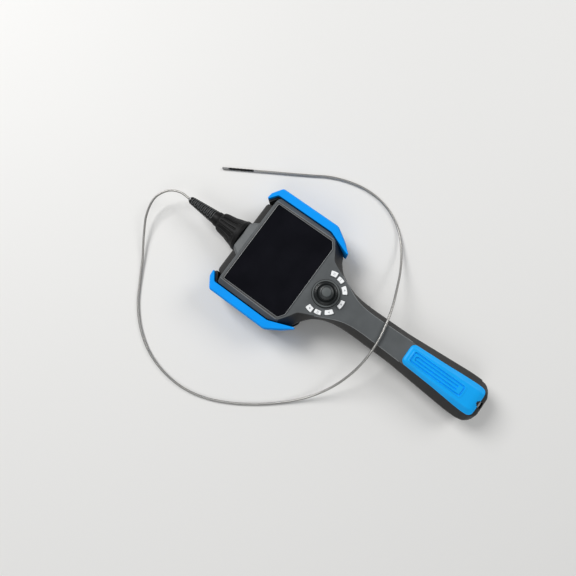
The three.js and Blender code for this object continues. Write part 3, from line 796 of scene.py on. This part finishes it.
def build_screen():
    outline = rounded(GLASS_OUTLINE, GLASS_ROUND)
    profile = [(-0.1, 44.4), (0, 44.6), (0, 45.6), (-0.15, 45.9), (-0.5, PANEL_Z)]
    glass = stacked("cover_glass_bevelled", outline, profile)
    finish_piece(glass, "screen_glass", ["screen_glass"])
    low = ON_FACE_Z
    profile = [(0.3, low), (0.3, 46.6), (0.4, 46.9), (0.6, 47), (0.8, 46.95), (0.95, 46.7), (1.05, low)]
    finish_piece(stacked("bezel_ridge", outline, profile, wrap=True), "bezel", ["bezel_frame"])
    profile = [(1.1, low), (1.1, 46.1), (2.15, 46.1), (2.15, low)]
    band = stacked("face_band_dark", outline, profile, wrap=True)
    carve(band, [stacked("joystick_side", rectangle(-60, 60, 10, 30.5), [(0, 40), (0, 50)])])
    finish_piece(band, "black_shell", look="face_band")


# -------- joystick and keys
def ball_point(radius, angle):
    a = radians(angle)
    return radius * sin(a), PIVOT_Z + radius * cos(a)


def build_joystick():
    low = ON_FACE_Z
    flange = [(15.6, low), (16.3, low), (16.4, 46.4), (16.25, 46.9), (15.6, 47)]
    finish_piece(spun("joystick_flange", flange, 96, ring=True), "black_rubber")
    ring = [(14, low), (15.6, low), (15.6, 48.5), (15.45, 49), (15.1, 49.3), (14.3, 49.3), (13.85, 49.1),
            (13.7, 48.7), (13.8, 48.3), (14, 48.2)]
    # The collar is black rubber, shown lighter as painted highlight.
    collar = spun("joystick_collar", ring, 96, ring=True)
    finish_piece(collar, "black_rubber", ["joystick_ring"], look="ring_painted_highlight")

    folds, fold_radius = [], 0.98
    for middle in ((12.55, 48.0), (11.75, 50.35), (10.85, 52.45)):
        folds += [polar(fold_radius, radians(-60 + 170 * i / 8), middle) for i in range(9)]
    inside = [ball_point(13.4, 46.5 + 32 * i / 8) for i in range(9)]
    boot = spun("joystick_bellows", inside + folds, 96, ring=True)
    finish_piece(boot, "black_rubber", ["joystick_boot"], 60, "bellows_rubber")

    outer = [ball_point(12.9, 15 + 63 * i / 20) for i in range(21)]
    inner = [ball_point(11.6, 78 - 61 * i / 10) for i in range(11)]
    skirt = spun("joystick_dome_skirt", outer + inner, 96, ring=True)
    finish_piece(skirt, "black_rubber", ["joystick_skirt"], look="bellows_rubber", body="stick")

    profile = [(0, 58), (5.4, 58), (6.9, 58.25), (7.7, 58.9), (8, 59.9), (7.95, 60.6), (7.5, 61.3),
               (6.9, 61.7), (5.9, 62.1), (5.55, 62.1), (5.4, 61.9), (0, 61.9)]
    # The shoulder is the thumb cap's rubber painted darker as shade. The top disc keeps the lighter colour, as if
    # lit.
    shoulder = spun("joystick_cap_shoulder", profile, 96)
    finish_piece(shoulder, "thumb_rubber", (), 60, "cap_shoulder_painted_shade", "stick")
    profile = [(0, 61.95), (5.2, 61.95), (5.2, 62.6), (5, 62.9), (4.5, 63.1), (2.6, 63.3), (1.2, 63.38),
               (0, 63.4)]
    cap = spun("joystick_thumb_cap", profile, 96)
    finish_piece(cap, "thumb_rubber", ["joystick_cap"], 60, body="stick")


def mark_outlines(angle):
    """Plain printed signs, one sort for each key, around the key's middle."""

    def regular(sides, radius, turn=0.0):
        return [polar(radius, turn + 2 * pi * i / sides) for i in range(sides)]

    bar = rectangle(-1.5, 1.5, -0.32, 0.32)
    return {-102: [regular(24, 1.15)], -78: [[(x, y + 0.7) for x, y in bar], [(x, y - 0.7) for x, y in bar]],
            -45: [regular(3, 1.5, 0)], 0: [regular(4, 1.3, pi / 4)], 45: [regular(3, 1.5, pi)],
            78: [bar], 102: [[(y - 0.8, x) for x, y in bar], [(y + 0.8, x) for x, y in bar]]}[angle]


def build_keys():
    top = 47.5
    profile = [(0.6, 42), (0.6, 43), (0, 43.05), (0, 46.7), (-0.08, 47.1), (-0.25, 47.37), (-0.5, top)]
    for i, angle in enumerate(KEY_ANGLES):
        body = f"key_{i + 1}_body"
        key = stacked(f"key_{i + 1}_rounded", key_outline(angle), profile)
        finish_piece(key, "white_key", [f"key_{i + 1}"], body=body)
        middle_x, middle_y = polar(KEY_PLACES[abs(angle)][0], radians(angle - 90))
        for k, sign in enumerate(mark_outlines(angle)):
            placed = [(x + middle_x, y + middle_y) for x, y in sign]
            mark = stacked(f"key_{i + 1}_mark_{k + 1}", placed, [(0, top - 0.1), (0, top + 0.03)])
            finish_piece(mark, "bezel", look="key_print", body=body)


# -------- bumpers and grip
# Both sides of the right bumper from its upper end to its lower one, each as (x, y, corner radius).
BUMPER_OUTSIDE = [(53.8, 122.3, 0), (60.8, 122.3, 1.5), (74, 113.1, 2.5), (74, 33.8, 2.5),
                  (62.6, 16, 2.5), (53, 5.4, 0)]
BUMPER_INSIDE = [(52.7, 120.8, 0), (58.5, 116.6, 0.5), (63.2, 113.2, 2), (63.2, 36.6, 2),
                 (57.3, 21.4, 1), (51.8, 7.2, 0)]
BUMPER_FOOT_Z = RIM_TOP_Z + 0.1
BUMPER_TOP_Z = 42
BLOCK_TOP_Z = 38


def bumper_section(outside, inside, inset, hand):
    """A section across a bumper: broad slope at the top of its outer side, small rounds elsewhere."""
    across = Vector(outside) - Vector(inside)
    width = across.length - inset
    step = across.normalized()
    slope, low, high = min(2.3, width * 0.3), BUMPER_FOOT_Z + inset, BUMPER_TOP_Z - inset
    profile = [(0.4, low), (0.1, low + 0.25), (0, low + 0.9), (0, high - 0.5), (0.12, high - 0.14),
               (0.45, high), (width - slope, high), (width - slope + 0.4, high - 0.1),
               (width - 0.25, high - 2.3), (width, high - 3.1), (width, low + 0.9),
               (width - 0.1, low + 0.25), (width - 0.4, low)]
    start = Vector(inside) + step * inset
    return [(hand * (start.x + step.x * d), start.y + step.y * d, z) for d, z in
            ((min(d, width) - (inset if d > width / 2 else 0), z) for d, z in profile)]


def build_bumpers():
    """The bumpers with rounded-off ends, and the black blocks at the head's corners that they meet."""
    outside, inside = side_curve(BUMPER_OUTSIDE), side_curve(BUMPER_INSIDE)
    ends = []
    for line in (outside, inside):
        first, second, last, before = (Vector(line[i]) for i in (0, 1, -1, -2))
        ends.append((first.lerp(second, 0.25), last.lerp(before, 0.08)))
    places = [(outside[0], inside[0], 0.5), (ends[0][0], ends[1][0], 0)]
    places += [(a, b, 0) for a, b in zip(outside[1:-1], inside[1:-1])]
    places += [(ends[0][1], ends[1][1], 0), (outside[-1], inside[-1], 0.4)]
    corner = rounded([(50.9, 118), (52.3, 120.5), (62.7, 113), (62.7, 110.2)], 0.4, 3)
    for hand, side in ((1, "right"), (-1, "left")):
        outline = [(hand * x, y) for x, y in corner]
        profile = [(0, BUMPER_FOOT_Z), (0, BLOCK_TOP_Z - 0.2), (-0.2, BLOCK_TOP_Z)]
        block = stacked(f"corner_block_{side}", outline, profile)
        finish_piece(block, "black_shell")
        bumper = loft(f"bumper_{side}_bevelled", [bumper_section(*spot, hand) for spot in places])
        finish_piece(bumper, "blue_rubber", [f"bumper_{side}"], 30)


CAP_START_Y = -198.3
CAP_WIDTH = [(CAP_START_Y, 25.8), (-205, 24.6), (-210, 20.5), (GRIP_END_Y, 17)]
CAP_TOP_EDGE = [(CAP_START_Y, 16), (-205, 15.5), (-210, 12), (GRIP_END_Y, 9)]
CAP_TOP = [(CAP_START_Y, 39), (-205, 38.2), (-210, 35.5), (GRIP_END_Y, 32)]
CAP_EASE = 1.4
CAP_SHOULDER_Z = 26.5
PAD_START_Y = -110.5
PAD_END_Y = -204.6
PAD_RISE = [(PAD_START_Y, 1.4), (-113, 3), (-194, 3.4), (-198.5, 2.8), (-202, 1.4), (PAD_END_Y, 0)]
PAD_EDGE = [(PAD_START_Y, 12.8), (-150, 14.8), (-188, 17.6), (-199, 17.8), (-206, 16.6)]
PAD_TOP_EDGE = [(PAD_START_Y, 8.6), (-114, 9), (-190, 12), (-202, 11.4), (-206, 9)]


def cap_ring(y, grow=0.0):
    end = rounding(y - GRIP_END_Y, 1.2)
    w, t, top = (eased(line, y, CAP_EASE) - end + grow for line in (CAP_WIDTH, CAP_TOP_EDGE, CAP_TOP))
    low = 1.5 + (39 - top) * 0.4
    return section([(0, low), (w - 12, low, 2), (w - 1.5, 9, 3), (w, 19, 3), (w, CAP_SHOULDER_Z, 3),
                    (t, top, 2), (0, top)], y)


def cap_solid(name, grow=0.0, start=HOUSING_END_Y - 0.1):
    ys = stations(start, GRIP_END_Y - grow, 0.9)
    return loft(name, [cap_ring(y, grow) for y in ys])


def pad_top(y):
    return eased(FACE_HEIGHT, y) + eased(PAD_RISE, y, 1.2)


def build_end_cap():
    cap = cap_solid("grip_end_cap")
    notch = rounded(rectangle(-3.6, 3.6, GRIP_END_Y + 2.6, GRIP_END_Y + 8), 0.6)
    carve(cap, [stacked("notch", notch, [(0, 22), (0, 45)])])
    finish_piece(cap, "black_shell", ["end_cap"], 40)
    line = [Vector((x, GRIP_END_Y + 6, 35.2)) for x in (-3.9, 0, 3.9)]
    pin = tube_mesh("lanyard_pin", line, radius=1.15, sides=32)
    finish_piece(pin, "light_metal", ["lanyard_bar"], look="bright_metal")


def flank_height(x, y):
    """How high the grip's top or sloping flank is, x away from the middle, on the shell or the cap."""
    if y >= HOUSING_END_Y:
        lines = OUTER_EDGE, FACE_EDGE, FACE_HEIGHT, SHOULDER_HEIGHT
        w, t, top, shoulder = (eased(line, y) for line in lines)
    else:
        w, t, top = (eased(line, y, CAP_EASE) for line in (CAP_WIDTH, CAP_TOP_EDGE, CAP_TOP))
        shoulder = CAP_SHOULDER_Z
    return shoulder + (top - shoulder) * min(1, (w - x) / (w - t))


def pad_solid():
    rings = []
    near_ends = [-110.6, -110.8, -111.2, -112, -113, -204.5, -204.2, -203.8]
    for y in stations(PAD_START_Y, PAD_END_Y, 1.0, near_ends):
        from_start, from_end = PAD_START_Y - y, y - PAD_END_Y
        edge = eased(PAD_EDGE, y) - rounding(from_start, 6) - rounding(from_end, 6)
        top = pad_top(y) - rounding(from_start, 1.6) * 0.8 - rounding(from_end, 1.2) * 0.4
        rim = min(top - 0.6, flank_height(edge - 0.6, y) + 0.4)
        top_edge = min(eased(PAD_TOP_EDGE, y), edge - 2.5)
        rings.append(section([(edge, 20), (edge, rim, 0.6), (top_edge, top, 1), (0, top)], y))
    return loft("grip_pad_grooved", rings)


def swept(name, path, profile, ground):
    """Carries a profile of (sideways, height) along an open path of (x, y)."""
    rings = []
    for i, (x, y) in enumerate(path):
        before, after = path[max(i - 1, 0)], path[min(i + 1, len(path) - 1)]
        aside = Vector((after[1] - before[1], before[0] - after[0])).normalized()
        rings.append([(x + aside.x * d, y + aside.y * d, z + ground(y)) for d, z in profile])
    return loft(name, rings)


def build_grip_pad():
    """A rubber pad with a raised panel. A groove in a loop and one in a hairpin are sunk in the panel."""
    pad = pad_solid()
    panel = rounded(rectangle(-7.6, 7.6, -184, -115.4), 2.5, 6)
    carve(pad, [stacked("panel", panel, [(0, -1.5), (0, 0.1), (-0.5, 0.42)], pad_top)], "UNION")
    cutters = [front_solid("grip_core", -0.03, 10), cap_solid("cap_core", 0.05, HOUSING_END_Y + 0.6)]
    groove = [(-0.35, -1), (0.35, -1), (0.75, -0.6), (0.95, 0.5), (0.95, 1.5), (-0.95, 1.5),
              (-0.95, 0.5), (-0.75, -0.6)]
    loop = rounded(rectangle(-5.6, 5.6, -181, -118), 1.8, 6)
    cutters.append(stacked("loop_groove", loop, groove, pad_top, wrap=True))
    half = 2
    arm = [(-half, y) for y in range(-175, -124, 5)]
    bend = [polar(half, pi * (1 - i / 8), (0, -123.4)) for i in range(9)]
    hairpin = arm + bend + [(-x, y) for x, y in arm[::-1]]
    cutters.append(swept("hairpin_groove", hairpin, groove, pad_top))
    wide, narrow, open_y, step_y, end_y = 3.3, 1.8, -213, -202.2, -200.6
    notch = [(-wide, open_y), (wide, open_y), (wide, step_y), (narrow, step_y), (narrow, end_y),
             (-narrow, end_y), (-narrow, step_y), (-wide, step_y)]
    cutters.append(stacked("pad_notch", notch, [(0, 20), (0, 50)]))
    carve(pad, cutters)
    finish_piece(pad, "pad_rubber", ["grip_pad"], 34)


# -------- coupling and strain relief
def build_coupling_ring():
    """A nut with long flutes down its cone."""
    flutes, flutes_start, flutes_end = 18, 129, 154.5
    cone = [(156, 11.6), (152, 12.9), (140, 14.9), (136, 16.4), (131, 17.7), (127, 19.2)]

    def fluted(radius, y, angle):
        fade = min(1, max(0, (y - flutes_start) / 4)) * min(1, max(0, (flutes_end - y) / 2.5))
        inside = radius < along([(156, 9), (124, 13)], y) or y < 127
        if inside or fade <= 0:
            return radius
        dip = max(0, cos(angle * flutes)) ** 0.6
        return radius * (1 - 0.085 * dip * fade)

    profile = [(19.1, 121.6), (19.7, 121.9), (20, 122.6), (20, 125.6), (19.7, 126.4), (19.1, 127.2)]
    profile += [(along(cone, y), y) for y in (128, 129, 130, 131, 132.5, 134, 136, 138, 141, 144, 147, 150,
                                              152, 153, 154, 155)]
    profile += [(11.2, 155.8), (10.6, 156), (8.7, 156), (8.7, 151), (12.3, 149), (12.4, 121.6)]
    ring = spun("coupling_nut_fluted", profile, flutes * 12, ring=True, radius_at=fluted, **COUPLING)
    finish_piece(ring, "black_coupling", ["coupling_ring"], 45, body="coupling_nut")


RELIEF_TAPER = [(203, 4.6), (164, 8.4), (162, 9), (158, 9)]
SLOT_START_Y = 167.4
SLOT_PITCH, SLOT_WIDTH = 5.1, 2.5
SLOTS_PER_SIDE = 7


def around_coupling(radius, angle, y):
    """A point at that many degrees from the top towards the right, about the coupling's axis."""
    a = radians(angle)
    return radius * sin(a), y, COUPLING_Z + radius * cos(a)


def slot_outline(y, facing, half_span):
    """One long side of a round-ended slot as (degrees, distance from its middle line)."""
    radius = along(RELIEF_TAPER, y)
    half, reach = SLOT_WIDTH / 2, radians(half_span) * radius
    track = []
    for i in range(29):
        s = -cos(pi * i / 28) * reach
        into_end = max(0, abs(s) - (reach - half))
        track.append((facing + degrees(s / radius), sqrt(max(0, half * half - into_end ** 2))))
    return track


def build_strain_relief():
    """A tapered boot with round-ended slots on alternate sides."""
    profile = [(0, 156.4), (9.1, 156.4), (9.4, 156.7), (9.4, 161.4), (8.6, 163), (8.45, 164)]
    profile += [(along(RELIEF_TAPER, y), y) for y in range(167, 203, 3)]
    profile += [(4.5, 202.8), (4.2, 203.2), (0, 203.2)]
    boot = spun("strain_relief_slotted", profile, 96, **COUPLING)
    cutters, highlight_lips = [], []
    for i in range(SLOTS_PER_SIDE * 2):
        y = SLOT_START_Y + i * SLOT_PITCH / 2
        facing, half_span = ((45, 82), (225, 76))[i % 2]
        track = slot_outline(y, facing, half_span)
        low, high = along(RELIEF_TAPER, y) - 1.7, along(RELIEF_TAPER, y) + 2
        corners = ((low, -1), (low, 1), (high, 1), (high, -1))
        rings = [[around_coupling(r, a, y + side * max(h, 0.02)) for r, side in corners] for a, h in track]
        cutters.append(loft("slot", rings))
        rim = [(a, y + h) for a, h in track] + [(a, y - h) for a, h in reversed(track)]
        path = [Vector(around_coupling(along(RELIEF_TAPER, at) + 0.02, a, at)) for a, at in rim]
        highlight_lips.append(tube_mesh(f"relief_slot_highlight_lip_{i + 1}", path, 0.3, 8))
    carve(boot, cutters)
    finish_piece(boot, "black_rubber", ["strain_relief"], 45, "black_coupling")
    # The lips carry a light grey as painted highlight on the slots' edges.
    for rim in highlight_lips:
        finish_piece(rim, "bezel", (), 80, "slot_lip_painted_highlight")
    end = [(0, 202.6), (3.9, 202.6), (4, 203.4), (3.7, 204.2), (2.5, 205.6), (2.1, 206.1), (1.5, 206.25),
           (0, 206.25)]
    ferrule = spun("relief_end_ferrule", end, 64, **COUPLING)
    finish_piece(ferrule, "light_metal", ["relief_collar"])


# -------- steerable end
TIP_HEADING = radians(120)
TIP_AHEAD = Vector((cos(TIP_HEADING), sin(TIP_HEADING), 0))
LINK_LENGTH, LINK_GAP, LINK_COUNT = 3.6, 1.0, 7
FERRULE_LENGTH = 5.0
HEAD_LENGTH = 8.5


def beyond_tube(distance):
    """The point that far beyond the tube's end, in millimetres."""
    return Vector(TUBE_ROUTE[-1]) + TIP_AHEAD * distance


def turned_end(name, profile, sides=32):
    """A piece turned about the steerable end's axis: (radius, distance beyond the tube's end)."""
    across, up = Vector((TIP_AHEAD.y, -TIP_AHEAD.x, 0)), Vector((0, 0, 1))
    return loft(name, [circle(beyond_tube(distance), across, up, max(radius, 1e-4), sides)
                       for radius, distance in profile])


def barrel(radius, start, end, edge):
    """The profile of a short cylinder with its edges broken."""
    return [(0, start), (radius - edge, start), (radius, start + edge), (radius, end - edge),
            (radius - edge, end), (0, end)]


def build_steerable_end():
    """Ferrule, links, the sleeves between them, and the camera head. Gives all of them."""
    pieces = []
    collar = [(0, 0.05), (1.38, 0.05), (1.4, 0.5), (1.4, 3.6), (1.25, 3.8), (1.25, 4.1), (1.4, 4.3),
              (1.4, 4.8), (1.2, 5), (0, 5)]
    pieces.append(finish_piece(turned_end("ferrule_crimped", collar), "steel", ["tube_ferrule"]))
    pitch = LINK_LENGTH + LINK_GAP
    bodies = ["handset", *(f"link_{i + 1}" for i in range(LINK_COUNT)), "tip"]
    for i in range(LINK_COUNT):
        start = FERRULE_LENGTH + LINK_GAP + i * pitch
        link = turned_end(f"bend_ring_{i + 1}", barrel(1.4, start, start + LINK_LENGTH, 0.25))
        nodes = [f"bend_link_{i + 1}"]
        pieces.append(finish_piece(link, "black_coupling", nodes, 45, body=bodies[i + 1]))
    for i in range(LINK_COUNT + 1):
        start = FERRULE_LENGTH + i * pitch
        profile = [(1.22, start - 0.3 + 1.6 * k / 8) for k in range(9)]
        sleeve = turned_end(f"bend_sleeve_{i + 1}", profile, 24)
        sleeve.data.materials.append(MATERIALS["black_rubber"])
        shade(sleeve.data, 40)
        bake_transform(sleeve)
        pieces.append(sleeve)
    tip_start = FERRULE_LENGTH + LINK_GAP + LINK_COUNT * pitch
    end = tip_start + HEAD_LENGTH
    profile = [(0, tip_start), (1.2, tip_start), (1.4, tip_start + 0.2), (1.4, end - 6.4), (1.3, end - 6.25),
               (1.3, end - 6), (1.4, end - 5.85), (1.4, end - 0.25), (1.15, end), (0.75, end),
               (0.75, end - 1.2), (0, end - 1.2)]
    head = turned_end("camera_head_steel", profile, 48)
    pieces.append(finish_piece(head, "tip_steel", ["distal_tip"], body="tip"))
    profile = [(0, end - 0.9), (0.6, end - 0.9), (0.6, end - 0.3), (0.45, end - 0.14), (0.25, end - 0.08),
               (0, end - 0.06)]
    dome = turned_end("camera_lens_domed", profile)
    pieces.append(finish_piece(dome, "lens", ["tip_lens"], 60, body="tip"))
    return pieces


# -------- the CAD nodes that still show
def dress_cad_nodes():
    slots = {part["node"]: part["material_slot"] for part in frame["record"]["subparts"]}
    for name, node in frame["nodes"].items():
        node.data.materials.clear()
        node.data.materials.append(MATERIALS[slots[name]])


build_materials()
build_camera()
build_stage()
tube, tube_length = build_tube()
dress_cad_nodes()
build_front_shell()
build_rear_shell()
build_seal()
build_edge_highlights()
build_screws()
build_tripod_bush()
build_screen()
build_joystick()
build_keys()
build_bumpers()
build_end_cap()
build_grip_pad()
build_coupling_ring()
build_strain_relief()
tip_pieces = build_steerable_end() + [frame["nodes"][name] for name in ("tip_light_1", "tip_light_2")]
